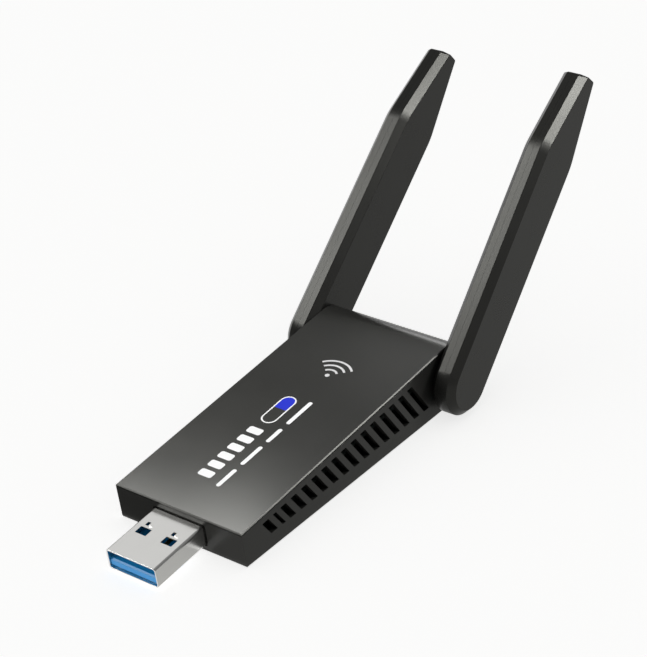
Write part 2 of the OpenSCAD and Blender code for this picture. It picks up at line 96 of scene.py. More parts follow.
print(f"case {case_w / mm:.1f} mm wide, top leaning {math.degrees(tilt):.2f} degrees")
print(f"hinge {hinge_run / mm:.1f} mm behind the front wall")

# %% [markdown]
# ## Camera
# A small object looks best from well back through a long lens, so that its edges stay nearly parallel. The
# camera stands to the right and in front of the plug, looks down at thirty degrees, and is rolled a little.

# %% Place the camera
camera_at = Vector((230.7, -267.9, 232.7)) * mm
azimuth = math.radians(39.385)
elevation = math.radians(29.973)
roll = math.radians(-4.177)
camera_data = bpy.data.cameras.new("portrait_camera")
camera_data.lens = 118.13
camera_data.sensor_width = 36
camera_data.clip_start = 0.01
camera = bpy.data.objects.new("portrait_camera", camera_data)
bpy.context.scene.collection.objects.link(camera)
ahead = Vector((-math.sin(azimuth) * math.cos(elevation), math.cos(azimuth) * math.cos(elevation),
                -math.sin(elevation)))
level_right = ahead.cross(Vector((0, 0, 1))).normalized()
right = level_right * math.cos(roll) + level_right.cross(ahead) * math.sin(roll)
turn = Matrix((right, right.cross(ahead), -ahead)).transposed().to_4x4()
camera.matrix_world = Matrix.Translation(camera_at) @ turn
bpy.context.scene.camera = camera
print("camera", [round(v / mm) for v in camera.location], "mm, lens", camera_data.lens)

# %% [markdown]
# ## Writing node trees as sums
# A node tree is easier to read as arithmetic. A small class wraps a socket, and each operator on it adds
# one Math node. Every other node comes from one method, which takes the node's type, its settings and what
# feeds its sockets. The same class serves shaders and geometry, because both kinds of tree take the same
# Math node.


# %% The tree helper
class Wire:
    """A socket that can be added, subtracted, multiplied and compared."""

    def __init__(self, graph, socket):
        self.graph = graph
        self.socket = socket

    def _math(self, operation, first, second):
        return self.graph.node("ShaderNodeMath", {"operation": operation}, {0: first, 1: second})

    def __add__(self, other):
        return self._math("ADD", self, other)

    def __radd__(self, other):
        return self._math("ADD", other, self)

    def __sub__(self, other):
        return self._math("SUBTRACT", self, other)

    def __rsub__(self, other):
        return self._math("SUBTRACT", other, self)

    def __mul__(self, other):
        return self._math("MULTIPLY", self, other)

    def __rmul__(self, other):
        return self._math("MULTIPLY", other, self)

    def __gt__(self, other):
        return self._math("GREATER_THAN", self, other)

    def __lt__(self, other):
        return self._math("LESS_THAN", self, other)


class Graph:
    """A node tree that is written with method calls."""

    def __init__(self, tree):
        self.tree = tree

    def node(self, kind, settings=None, feeds=None, out=0):
        """Adds a node and returns one of its outputs as a Wire."""
        made = self.tree.nodes.new(kind)
        for name, value in (settings or {}).items():
            setattr(made, name, value)
        for key, value in (feeds or {}).items():
            self.feed(made.inputs[key], value)
        return Wire(self, made.outputs[out])

    def feed(self, socket, value):
        if isinstance(value, Wire):
            self.tree.links.new(value.socket, socket)
        else:
            socket.default_value = value

    def mix(self, factor, first, second):
        """Mixes two colours."""
        return self.node("ShaderNodeMix", {"data_type": "RGBA"}, {0: factor, 6: first, 7: second}, out=2)


print("the tree helper is ready")

# %% [markdown]
# ## Finishes
# Every finish starts from the same few observations. Moulded plastic is never flat: the tool leaves a fine
# grain that breaks up its highlights, and handling leaves faint patches where it is a little glossier.
# Pressed steel is brushed along the strip it was cut from. The patterns read Object coordinates in metres,
# so a grain of a tenth of a millimetre needs a noise scale in the thousands.


# %% Helpers for finishes
def rgb(red, green, blue):
    return (red, green, blue, 1.0)


def start_material(name):
    """A material with one Principled shader, and a Graph to write its tree with."""
    made = bpy.data.materials.new(name)
    made.use_nodes = True
    tree = made.node_tree
    shader = next(node for node in tree.nodes if node.type == "BSDF_PRINCIPLED")
    return made, Graph(tree), shader


def object_place(graph, stretch=(1, 1, 1), turn=(0, 0, 0)):
    """Object coordinates, turned and stretched."""
    place = graph.node("ShaderNodeTexCoord", out="Object")
    return graph.node("ShaderNodeMapping", None, {"Vector": place, "Scale": stretch, "Rotation": turn})


def noise(graph, place, per_metre, detail=2.0):
    return graph.node("ShaderNodeTexNoise", None, {"Vector": place, "Scale": per_metre, "Detail": detail})


def ramp(graph, value, low_at, high_at):
    """Spreads a value between two places over 0 to 1, smoothly."""
    return graph.node("ShaderNodeMapRange", {"interpolation_type": "SMOOTHSTEP"},
                      {"Value": value, "From Min": low_at, "From Max": high_at})


def scaled(colour, factor):
    return rgb(*(min(1.0, channel * factor) for channel in colour[:3]))


# %% [markdown]
# ### Moulded plastic
# The case and antennas are glass-filled plastic from a spark-eroded tool: charcoal, satin, with a grain
# that can just be felt. Two noises make it: a fine one for the grain and a broad one for the patches left
# by handling.


# %% Moulded plastic
def moulded_plastic(name, colour, roughness, grain=0.12 * mm, depth=0.004 * mm, mottle=0.06, specular=0.5,
                    tint=(1, 1, 1)):
    """Satin plastic: a texture as wide as grain and as high as depth, and patches as strong as mottle."""
    patches_per_metre = 90.0
    made, graph, shader = start_material(name)
    place = object_place(graph)
    fine = noise(graph, place, 1 / grain, detail=3.0)
    broad = noise(graph, place, patches_per_metre, detail=3.0)
    shade = graph.mix(broad, scaled(colour, 1 - 2 * mottle), scaled(colour, 1 + 2 * mottle))
    specks = ramp(graph, fine, 0.62, 0.78)
    graph.feed(shader.inputs["Base Color"], graph.mix(specks * 0.35, shade, scaled(colour, 1.5)))
    graph.feed(shader.inputs["Roughness"], roughness - 0.03 + broad * 0.05 + fine * 0.03)
    bump = graph.node("ShaderNodeBump", None, {"Height": fine, "Distance": depth, "Strength": 1.0})
    graph.feed(shader.inputs["Normal"], bump)
    shader.inputs["Specular IOR Level"].default_value = specular
    shader.inputs["Specular Tint"].default_value = rgb(*tint)
    return made


charcoal = rgb(0.0125, 0.0125, 0.0116)
warm_grey = (1, 1, 0.93)
case_plastic = moulded_plastic("case_plastic", charcoal, 0.3, grain=0.1 * mm, depth=0.0015 * mm,
                               specular=0.25, tint=warm_grey)
antenna_plastic = moulded_plastic("antenna_plastic", charcoal, 0.27, grain=0.1 * mm, depth=0.001 * mm,
                                  specular=0.25, tint=warm_grey)
blue_plastic = moulded_plastic("blue_plastic", rgb(0.012, 0.32, 0.76), 0.3, depth=0.002 * mm)
black_plastic = moulded_plastic("black_plastic", rgb(0.012, 0.012, 0.013), 0.5)
chip_epoxy = moulded_plastic("chip_epoxy", rgb(0.02, 0.02, 0.021), 0.62, grain=0.05 * mm)
ferrite = moulded_plastic("ferrite", rgb(0.045, 0.045, 0.048), 0.7, grain=0.08 * mm)
capacitor_ceramic = moulded_plastic("capacitor_ceramic", rgb(0.36, 0.24, 0.14), 0.45, mottle=0.1)
coax_jacket = moulded_plastic("coax_jacket", rgb(0.02, 0.02, 0.021), 0.38, grain=0.2 * mm)
friction_rubber = moulded_plastic("friction_rubber", rgb(0.016, 0.016, 0.016), 0.8)
acetal = moulded_plastic("acetal", rgb(0.03, 0.03, 0.031), 0.4)
silicone_pad = moulded_plastic("silicone_pad", rgb(0.3, 0.38, 0.46), 0.75, grain=0.2 * mm, depth=0.01 * mm)
print("moulded finishes made")

# %% [markdown]
# ### Metals
# The plug is nickel-plated steel strip, and its brushing runs the way it is pushed in. Stretching a noise
# until its cells are long threads gives the brushing, and the same threads vary the roughness so that
# highlights streak.


# %% Metals
def brushed_metal(name, colour, roughness, turn=(0, 0, 0)):
    """Metal with fine threads along y, which turn with the pattern."""
    thread = 0.05 * mm
    thread_depth = 0.0015 * mm
    smudges_per_metre = 160.0
    made, graph, shader = start_material(name)
    threads = noise(graph, object_place(graph, (1, 0.02, 1), turn), 1 / thread)
    smudge = noise(graph, object_place(graph), smudges_per_metre, detail=3.0)
    tone = graph.mix(threads, scaled(colour, 0.93), scaled(colour, 1.05))
    graph.feed(shader.inputs["Base Color"], graph.mix(smudge * 0.3, tone, scaled(colour, 0.9)))
    graph.feed(shader.inputs["Roughness"], roughness - 0.05 + threads * 0.08 + smudge * 0.04)
    bump = graph.node("ShaderNodeBump", None, {"Height": threads, "Distance": thread_depth, "Strength": 1.0})
    graph.feed(shader.inputs["Normal"], bump)
    shader.inputs["Metallic"].default_value = 1.0
    return made


plug_steel = brushed_metal("plug_steel", rgb(0.76, 0.755, 0.735), 0.2, turn=(-tilt, 0, 0))
tinned_steel = brushed_metal("tinned_steel", rgb(0.7, 0.69, 0.66), 0.38)
spring_steel = brushed_metal("spring_steel", rgb(0.5, 0.5, 0.5), 0.35)
gold_contact = brushed_metal("gold_contact", rgb(0.9, 0.66, 0.3), 0.25)
copper_foil = brushed_metal("copper_foil", rgb(0.75, 0.36, 0.2), 0.35)
spreader_aluminium = brushed_metal("spreader_aluminium", rgb(0.66, 0.67, 0.69), 0.4)
print("metal finishes made")

# %% [markdown]
# ### Circuit board
# A board is glass cloth under a coat of solder mask. Copper tracks show through the mask as slightly
# lighter bands that run across the board, so the rows of a brick pattern stand for them.


# %% Board laminate
def laminate(name, colour):
    made, graph, shader = start_material(name)
    place = object_place(graph)
    bricks = graph.node("ShaderNodeTexBrick", {"offset": 0.35}, {
        "Vector": place, "Color1": rgb(0, 0, 0), "Color2": rgb(1, 1, 1), "Mortar": rgb(0.5, 0.5, 0.5),
        "Scale": 400.0, "Mortar Size": 0.1, "Brick Width": 2.5, "Row Height": 0.3})
    tracks = ramp(graph, bricks, 0.6, 0.62)
    weave = noise(graph, place, 2500.0, detail=1.0)
    shade = graph.mix(weave, scaled(colour, 0.85), scaled(colour, 1.1))
    graph.feed(shader.inputs["Base Color"], graph.mix(tracks * 0.8, shade, scaled(colour, 1.7)))
    graph.feed(shader.inputs["Roughness"], 0.28 + weave * 0.1)
    bump = graph.node("ShaderNodeBump", None, {"Height": tracks + weave * 0.2, "Distance": 0.01 * mm})
    graph.feed(shader.inputs["Normal"], bump)
    return made


board_laminate = laminate("board_laminate", rgb(0.01, 0.014, 0.012))

# %% [markdown]
# ### Print
# The marks on the cover are pad-printed: a thin, even layer of ink, a little rough at the grain's height.


# %% Print
white_ink = moulded_plastic("white_ink", rgb(0.92, 0.92, 0.92), 0.5, mottle=0.01)
grey_ink = moulded_plastic("grey_ink", rgb(0.7, 0.7, 0.7), 0.5, mottle=0.02)
blue_ink = moulded_plastic("blue_ink", rgb(0.015, 0.03, 0.6), 0.5, mottle=0.02)
print("materials:", len(bpy.data.materials))

# %% [markdown]
# ## Building solids
# Most pieces are plates: an outline drawn flat and given a thickness. A prism helper makes them, a carving
# helper joins and cuts them with exact booleans, and a finishing helper rounds every sharp edge with a
# small bevel. Weighted normals then keep the large faces optically flat while the bevels catch the light.


# %% Outlines
def arc(centre, radius, start, end, steps):
    """Points along a round stretch of an outline."""
    turns = [start + (end - start) * i / steps for i in range(steps + 1)]
    return [(centre[0] + radius * math.cos(turn), centre[1] + radius * math.sin(turn)) for turn in turns]


def rounded_rectangle(width, height, radius, centre=(0, 0), steps=6):
    points = []
    for corner, (sx, sy) in enumerate([(1, 1), (-1, 1), (-1, -1), (1, -1)]):
        at = (centre[0] + sx * (width / 2 - radius), centre[1] + sy * (height / 2 - radius))
        points += arc(at, radius, corner * math.pi / 2, (corner + 1) * math.pi / 2, steps)
    return points


def rectangle(u0, u1, v0, v1):
    return [(u0, v0), (u1, v0), (u1, v1), (u0, v1)]


def circle(centre, radius, steps=48):
    return arc(centre, radius, 0, 2 * math.pi, steps)[:-1]


# %% Prisms
PLANES = {"across": (1, 2, 0), "along": (0, 2, 1), "up": (0, 1, 2)}


def new_object(name, bm, place=Matrix.Identity(4)):
    """An object at the origin, whose place is in its mesh."""
    bm.transform(place)
    bmesh.ops.recalc_face_normals(bm, faces=bm.faces)
    mesh = bpy.data.meshes.new(name)
    bm.to_mesh(mesh)
    bm.free()
    made = bpy.data.objects.new(name, mesh)
    bpy.context.scene.collection.objects.link(made)
    return made


def loft(name, rings, place=Matrix.Identity(4)):
    """A closed solid through rings that have the same number of points."""
    bm = bmesh.new()
    loops = [[bm.verts.new(point) for point in ring] for ring in rings]
    for ring, following in zip(loops, loops[1:]):
        for i in range(len(ring)):
            j = (i + 1) % len(ring)
            bm.faces.new((ring[i], ring[j], following[j], following[i]))
    bm.faces.new(loops[0])
    bm.faces.new(loops[-1])
    return new_object(name, bm, place)


def prism(name, outline, start, end, plane="across"):
    """A plate in the case's frame: its outline lies in a plane, and its thickness runs from start to end."""
    first, second, depth = PLANES[plane]

    def ring(at):
        points = []
        for u, v in outline:
            point = [0, 0, 0]
            point[first], point[second], point[depth] = u, v, at
            points.append(point)
        return points

    return loft(name, [ring(start), ring(end)], case_frame)


# %% Carving and finishing
def baked(piece):
    """Applies an object's modifiers to its mesh."""
    seen = piece.evaluated_get(bpy.context.evaluated_depsgraph_get())
    mesh = bpy.data.meshes.new_from_object(seen)
    piece.modifiers.clear()
    stale = piece.data
    piece.data = mesh
    bpy.data.meshes.remove(stale)
    return piece


def discard(piece):
    mesh = piece.data
    bpy.data.objects.remove(piece)
    bpy.data.meshes.remove(mesh)


def carve(piece, tools, operation="DIFFERENCE"):
    """Cuts tools out of a piece, or joins them to it, and discards them."""
    for tool in tools:
        boolean = piece.modifiers.new("carve", "BOOLEAN")
        boolean.operation = operation
        boolean.object = tool
        boolean.solver = "EXACT"
    baked(piece)
    for tool in tools:
        discard(tool)
    return piece


def tidy_mesh(piece):
    """Welds doubled points and merges flat neighbours, so that bevels run clean."""
    flat = math.radians(0.2)
    weld = 0.0005 * mm
    bm = bmesh.new()
    bm.from_mesh(piece.data)
    bmesh.ops.remove_doubles(bm, verts=bm.verts, dist=weld)
    bmesh.ops.dissolve_limit(bm, angle_limit=flat, verts=bm.verts, edges=bm.edges)
    bm.to_mesh(piece.data)
    bm.free()
    return piece


def every_edge(middle):
    """Every edge is softened in full."""
    return 1.0


def soften(piece, width, segments=3, angle=30, share=every_edge, crisp=None):
    """Breaks the sharp edges, each by its share of the width, and keeps broad and crisp faces flat."""
    tidy_mesh(piece)
    bm = bmesh.new()
    bm.from_mesh(piece.data)
    weight = bm.edges.layers.float.new("bevel_weight_edge")
    for edge in bm.edges:
        if edge.is_manifold and edge.calc_face_angle() > math.radians(angle):
            edge[weight] = share((edge.verts[0].co + edge.verts[1].co) / 2)
            edge.smooth = edge[weight] > 0
    bm.to_mesh(piece.data)
    bm.free()
    bevel = piece.modifiers.new("soft_edges", "BEVEL")
    bevel.width = width
    bevel.segments = segments
    bevel.limit_method = "WEIGHT"
    bevel.miter_outer = "MITER_ARC"
    baked(piece)
    for face in piece.data.polygons:
        face.use_smooth = crisp is None or not crisp(face)
    weighted = piece.modifiers.new("flat_faces", "WEIGHTED_NORMAL")
    weighted.weight = 100
    weighted.keep_sharp = True
    return baked(piece)


def dress(piece, material, body, slot, *nodes):
    """Gives a finished piece its material and the body it rides on, and hides the nodes it stands for."""
    piece.data.materials.clear()
    piece.data.materials.append(material)
    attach(piece, body)
    if nodes:
        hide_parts(*nodes)
    print(f"{piece.name}: {len(piece.data.polygons)} faces")
    return piece


# %% [markdown]
# ## The case
# ### Side profile
# Seen from the side, the case is one line of thought: a flat top that runs level with the plug, a round
# barrel about the hinge, and a flat underside that just touches the barrel and meets the front wall. Every
# shell of the case is a slice of that profile, moved inwards by a wall or a skin.


# %% Profiles of the case
hinge_at = (hinge_run, hinge_z)
under_turn = -math.pi / 2 - tilt
ARC_STEPS = 56


def barrel(radius, start, end):
    return arc(hinge_at, radius, start, end, ARC_STEPS)


def profile_foot(front_in, under_in):
    """Height of the underside, moved inwards, where it meets the front wall."""
    return (under_in - front_in * math.sin(tilt)) / math.cos(tilt)


def band(front, outer_in, inner_in):
    """The strip of the profile that lies between two depths, over the top and down to the rear seam."""
    outside = [(front, front_h - outer_in)] + barrel(barrel_r - outer_in, math.pi / 2, seam_angle)
    inside = barrel(barrel_r - inner_in, seam_angle, math.pi / 2) + [(front, front_h - inner_in)]
    return outside + inside


def tub_profile():
    """The outside of the bottom cover, with its step down to the parting line all the way round."""
    edge_r = barrel_r - skin - seam
    lip = seam_angle - seam / barrel_r
    return ([(0, profile_foot(0, 0)), (0, front_h - skin - seam)] + barrel(edge_r, math.pi / 2, lip)
            + barrel(barrel_r, lip, under_turn))


def cavity_profile():
    """The inside of the tub, left open towards the cover."""
    over = front_h + 1 * mm
    inside = barrel(barrel_r - wall, math.pi / 2, under_turn)
    return [(wall, profile_foot(wall, wall)), (wall, over), (hinge_run, over)] + inside


print("profiles:", len(tub_profile()), "and", len(band(0, 0, skin)), "points")

# %% [markdown]
# ### Vents
# Sixteen slots lean across each side wall, lower end towards the hinge, and their feet follow the
# underside. The cutters repeat by a rule, so Geometry Nodes make them: a line of points with an upright bar
# on each, the first a little wide and the second narrow. One field then slides every corner to its place:
# tops on one line, feet on a line that falls with the underside, and everything in between leaning back as
# it goes down.


# %% Vent cutters from Geometry Nodes
def geometry_tree(name, inputs):
    """A Geometry Nodes tree with named inputs: its Graph, its inputs, its output node and its identifiers."""
    tree = bpy.data.node_groups.new(name, "GeometryNodeTree")
    identifiers = {}
    for label, kind in inputs.items():
        identifiers[label] = tree.interface.new_socket(label, in_out="INPUT", socket_type=kind).identifier
    tree.interface.new_socket("Geometry", in_out="OUTPUT", socket_type="NodeSocketGeometry")
    graph = Graph(tree)
    entry = tree.nodes.new("NodeGroupInput")
    leave = tree.nodes.new("NodeGroupOutput")
    wires = {label: Wire(graph, entry.outputs[label]) for label in inputs}
    return graph, wires, leave, identifiers


def grown(name, graph, identifiers, values):
    """Runs a Geometry Nodes tree on an empty mesh and returns the result as a plain object."""
    made = bpy.data.objects.new(name, bpy.data.meshes.new(name))
    bpy.context.scene.collection.objects.link(made)
    modifier = made.modifiers.new(name, "NODES")
    modifier.node_group = graph.tree
    for label, value in values.items():
        modifier[identifiers[label]] = value
    made.update_tag()
    return baked(made)


def place_mesh(piece, matrix):
    """Moves a piece by its mesh and keeps its object at the origin."""
    piece.data.transform(matrix)
    if matrix.determinant() < 0:
        piece.data.flip_normals()
    piece.data.update()
    return piece


def vent_tree():
    number = "NodeSocketFloat"
    graph, wires, leave, identifiers = geometry_tree("vent_cutters", {
        "Count": "NodeSocketInt", "First": number, "Second": number, "Third": number, "Pitch": number,
        "Width": number, "First Width": number, "Second Width": number, "Depth": number, "Top": number,
        "Foot": number, "Fall": number, "Slant": number, "Material": "NodeSocketMaterial"})
    index = graph.node("GeometryNodeInputIndex")
    is_first = index < 0.5
    is_second = (index < 1.5) - is_first
    is_rest = 1 - is_first - is_second
    width = is_first * wires["First Width"] + is_second * wires["Second Width"] + is_rest * wires["Width"]
    start = (is_first * wires["First"] + is_second * wires["Second"]
             + is_rest * (wires["Third"] + (index - 2) * wires["Pitch"]))
    row = graph.node("GeometryNodeMeshLine", None, {"Count": wires["Count"]})
    middle = graph.node("ShaderNodeCombineXYZ", None, {"Y": start + width * 0.5})
    row = graph.node("GeometryNodeSetPosition", None, {"Geometry": row, "Position": middle})
    bar = graph.node("GeometryNodeMeshCube", None, {"Size": (1, 1, 1)})
    size = graph.node("ShaderNodeCombineXYZ", None, {"X": wires["Depth"], "Y": width, "Z": 1.0})
    bars = graph.node("GeometryNodeInstanceOnPoints", None, {"Points": row, "Instance": bar, "Scale": size})
    solid = graph.node("GeometryNodeRealizeInstances", None, {"Geometry": bars})
    corner = graph.node("GeometryNodeInputPosition")
    parts = [graph.node("ShaderNodeSeparateXYZ", None, {"Vector": corner}, out=axis) for axis in "XYZ"]
    share = parts[2] + 0.5
    height = share * wires["Top"] + (1 - share) * (wires["Foot"] - parts[1] * wires["Fall"])
    lean = (wires["Top"] - height) * wires["Slant"]
    slid = graph.node("ShaderNodeCombineXYZ", None, {"X": parts[0], "Y": parts[1] + lean, "Z": height})
    solid = graph.node("GeometryNodeSetPosition", None, {"Geometry": solid, "Position": slid})
    done = graph.node("GeometryNodeSetMaterial", None, {"Geometry": solid, "Material": wires["Material"]})
    graph.feed(leave.inputs[0], done)
    return graph, identifiers


vent_w = 1.65 * mm
vent_top = front_h - 1.8 * mm
vent_foot = 3.1 * mm
slant = math.tan(math.radians(29.5))
fall = math.tan(tilt) / (1 - slant * math.tan(tilt))
vent_graph, vent_inputs = vent_tree()
vent_bars = grown("vent_bars", vent_graph, vent_inputs, {
    "Count": 16, "First": 5.7 * mm, "Second": 8.9 * mm, "Third": 11.1 * mm, "Pitch": 3.13 * mm,
    "Width": vent_w, "First Width": vent_w + 0.2 * mm, "Second Width": vent_w - 0.75 * mm,
    "Depth": 2 * wall + 0.4 * mm,
    "Top": vent_top, "Foot": (vent_foot - vent_top * slant * math.tan(tilt)) / (1 - slant * math.tan(tilt)),
    "Fall": fall, "Slant": slant, "Material": case_plastic})
print("vent cutters:", len(vent_bars.data.polygons) // 6)


# %% Vent cutters for one side
def vent_cutters(side):
    """The slots of one side wall, as solids with slightly rounded corners."""
    bars = vent_bars.copy()
    bars.data = vent_bars.data.copy()
    bpy.context.scene.collection.objects.link(bars)
    place_mesh(bars, case_frame @ Matrix.Translation((side * case_w / 2, 0, 0)))
    rounding = bars.modifiers.new("corners", "BEVEL")
    rounding.width = 0.18 * mm
    rounding.segments = 3
    return baked(bars)


# %% [markdown]
# ### Bottom cover
# The tub is the profile with a cavity cut out of it, a step round its edge for the cover, bosses that carry
# the hinge pins, posts for the board and a mouth for the plug. The mouth has a shallow step round it, which
# shows as a fine dark line about the plug.

# %% Hinge bosses, posts and plug mouth
boss_r = 4.4 * mm
boss_in = 3.05 * mm
bore_r = 2.55 * mm
seat_r = 4.2 * mm
seat_in = 0.7 * mm
post_places = [(10.6 * mm, 10 * mm), (10.6 * mm, 46.2 * mm)]
board_under = 1.55 * mm
board_top = 2.55 * mm
plug_w = 12 * mm
plug_h = 4.5 * mm
plug_out = 13.75 * mm
plug_in = 5 * mm
plug_lift = 1.4 * mm
# A cutter reaches this far past the face that it opens.
far = 0.1 * mm


def both_sides(make):
    """Makes something on the right and on the left."""
    return [make(1), make(-1)]


def on_hinge(name, side, start, end, radius):
    """A round bar on the hinge axis, between two distances from the middle of the case."""
    low_x, high_x = sorted((side * start, side * end))
    return prism(name, circle(hinge_at, radius, 64), low_x, high_x)


def post(side, spot, radius, start, end):
    return prism("post", circle((side * spot[0], spot[1]), radius, 32), start, end, plane="up")


def plug_hole(grow, start, end, radius):
    """A bar with the plug's section, grown, that opens the front wall from start to end."""
    middle_z = plug_lift + plug_h / 2
    outline = rounded_rectangle(plug_w + grow, plug_h + grow, radius, (0, middle_z))
    return prism("plug_hole", outline, start, end, plane="along")


def tub_share(middle):
    """Outer edges are rounded, the rims of the vents only a little, and inner edges not at all."""
    local = case_frame.inverted() @ middle
    if abs(local.x) < case_w / 2 - 0.01 * mm and local.y > 0.01 * mm:
        on_barrel = math.hypot(local.y - hinge_run, local.z - hinge_z) > barrel_r - 0.01 * mm
        return 1.0 if on_barrel and local.y > hinge_run else 0.0
    in_vents = 5 * mm < local.y < hinge_run - 2 * mm and local.z + local.y * math.tan(tilt) > 2 * mm
    return 0.3 if in_vents and local.z < vent_top + 0.2 * mm else 1.0


def make_tub():
    tub = prism("bottom_cover_shell", tub_profile(), -case_w / 2, case_w / 2)
    inner_w = case_w / 2 - wall
    ledge_w = case_w / 2 - rim
    carve(tub, [prism("cavity", cavity_profile(), -inner_w, inner_w),
                prism("ledge", band(rim, -1 * mm, wall), -ledge_w, ledge_w)])
    half_w = case_w / 2
    bosses = both_sides(lambda side: on_hinge("boss", side, half_w - boss_in, half_w - wall + far, boss_r))
    posts = []
    for spot in post_places:
        foot = wall / 2 - spot[1] * math.tan(tilt)
        posts += both_sides(lambda side: post(side, spot, 1.6 * mm, foot, board_under - snug))
        posts += both_sides(lambda side: post(side, spot, 0.8 * mm, foot + far, board_top + 1.2 * mm))
    carve(tub, bosses + posts, "UNION")
    cuts = both_sides(lambda side: on_hinge("bore", side, half_w - boss_in - far, half_w + far, bore_r))
    cuts += both_sides(lambda side: on_hinge("seat", side, half_w - seat_in, half_w + far, seat_r))
    cuts.append(plug_hole(0.2 * mm, -1 * mm, wall + 1 * mm, 0.6 * mm))
    cuts.append(plug_hole(0.6 * mm, -1 * mm, 0.2 * mm, 0.75 * mm))
    cuts += both_sides(vent_cutters)
    carve(tub, cuts)
    return soften(tub, 0.13 * mm, share=tub_share)


dress(make_tub(), case_plastic, "case", "case_plastic", "bottom_cover")
discard(vent_bars)

# %% [markdown]
# ### Top cover
# The cover is a thin skin that runs over the top and down round the barrel to a seam low on the rear. A
# second layer inside it drops into the tub and locates it, and four posts reach down to hold the board. Its
# outer edge is broken a little more than the others: that is the bright line that outlines the top.


# %% Make the top cover
def skin_share(middle):
    """The outer edges of the cover are broken, and the edges inside it and at the seam stay sharp."""
    local = case_frame.inverted() @ middle
    reach = math.hypot(local.y - hinge_run, local.z - hinge_z)
    outside = local.z > front_h - 0.01 * mm if local.y < hinge_run else reach > barrel_r - 0.02 * mm
    return 1.0 if outside else 0.0


def is_chamfer(face):
    """The flat strips between the top and its neighbours, which make a thin, even line of light."""
    turned = case_frame.to_3x3().inverted() @ face.normal
    return 0.4 < turned.z < 0.9 and max(abs(turned.x), -turned.y) > 0.4


def make_cover():
    cover = prism("top_cover_shell", band(0, 0, skin), -case_w / 2, case_w / 2)
    layer_w = case_w / 2 - rim - snug
    parts = [prism("layer", band(rim + snug, skin / 2, wall), -layer_w, layer_w)]
    for spot in post_places:
        parts += both_sides(lambda side: post(side, spot, 1.6 * mm, board_top + snug, front_h - wall / 2))
    carve(cover, parts, "UNION")
    bores = []
    for spot in post_places:
        bores += both_sides(lambda side: post(side, spot, 0.95 * mm, board_top - 1 * mm,
                                              board_top + 1.55 * mm))
    carve(cover, bores)
    return soften(cover, 0.2 * mm, segments=1, share=skin_share, crisp=is_chamfer)


dress(make_cover(), case_plastic, "case", "case_plastic", "top_cover")

# %% [markdown]
# ## The plug
# ### Shell
# The plug's shell is steel strip folded into a box, with its seam underneath. Two latch windows are punched
# through its top and bottom, and behind each top window a small lance is cut on three sides and pushed up.


# %% Make the plug shell
sheet = 0.3 * mm
window_x = 3.1 * mm
window_w = 2.6 * mm
window_start = 6.35 * mm
window_end = 8.25 * mm
notch_w = 0.96 * mm
notch_start = 8.85 * mm
notch_end = 9.85 * mm
plug_mid_z = plug_lift + plug_h / 2
plug_top = plug_lift + plug_h


def plug_section(inset, radius):
    return rounded_rectangle(plug_w - 2 * inset, plug_h - 2 * inset, radius, (0, plug_mid_z), 8)


def window(x, width, start, end, low_z, high_z):
    """A cutter with slightly rounded corners; start and end are measured from the plug's mouth."""
    outline = rounded_rectangle(width, end - start, 0.12 * mm, (x, (start + end) / 2 - plug_out), 3)
    return prism("window", outline, low_z, high_z, plane="up")


def lance(x):
    """A flap cut on three sides and pushed up, so that its mouth stands open towards its notch."""
    outline = [(x + 1.0 * mm, plug_top - 0.2 * mm), (x + 1.0 * mm, plug_top - 0.01 * mm),
               (x + 0.1 * mm, plug_top + 0.24 * mm), (x, plug_top + 0.22 * mm), (x, plug_top + 0.04 * mm)]
    return prism("lance", outline, 8.9 * mm - plug_out, 9.8 * mm - plug_out, plane="along")


def ear(side):
    """A tab at the shell's side, behind the front wall, that keeps the plug from being pulled out."""
    outline = rectangle(*sorted((side * (plug_w / 2 - sheet / 2), side * 6.6 * mm)), 2.6 * mm, 4.4 * mm)
    return prism("ear", outline, 1.7 * mm, 2.0 * mm, plane="up")


def front_rim(middle):
    """Only the rim of the plug's mouth is rounded."""
    return 1.0 if (case_frame.inverted() @ middle).y < -plug_out + 0.01 * mm else 0.0


def make_plug_shell():
    shell = prism("plug_shell", plug_section(0, 0.6 * mm), -plug_out, plug_in, plane="along")
    bore = prism("bore", plug_section(sheet, 0.34 * mm), -plug_out - far, plug_in + far, plane="along")
    carve(shell, [bore])
    cuts = []
    for x in (-window_x, window_x):
        cuts.append(window(x, window_w, window_start, window_end, plug_lift - 1 * mm, plug_top + 1 * mm))
        cuts.append(window(x - 0.45 * mm, notch_w, notch_start, notch_end, plug_mid_z, plug_top + 1 * mm))
    slit = rectangle(-0.04 * mm, 0.04 * mm, -plug_out - far, plug_in + far)
    cuts.append(prism("slit", slit, plug_lift - far, plug_lift + sheet + far, plane="up"))
    carve(shell, cuts)
    carve(shell, both_sides(ear) + [lance(x) for x in (-window_x, window_x)], "UNION")
    return soften(shell, 0.08 * mm, segments=2, angle=35, share=front_rim)


dress(make_plug_shell(), plug_steel, "case", "plug_steel", "usb_shell")

# %% [markdown]
# ### Tongue and contacts
# The blue tongue fills the lower half of the plug. Its front edges are chamfered so that it finds its way
# into a socket, and four gold pads lie in beds on top of it, with five sprung contacts behind them. The
# pads are alike and evenly placed in pairs, so Geometry Nodes set them out on a line.


# %% Make the tongue
tongue_floor = plug_lift + sheet + 0.02 * mm
tongue_h = 1.9 * mm
tongue_top = tongue_floor + tongue_h
tongue_side = plug_w / 2 - sheet - 0.05 * mm
pad_w = 1.0 * mm
pad_places = (-3.5 * mm, -1 * mm, 1 * mm, 3.5 * mm)


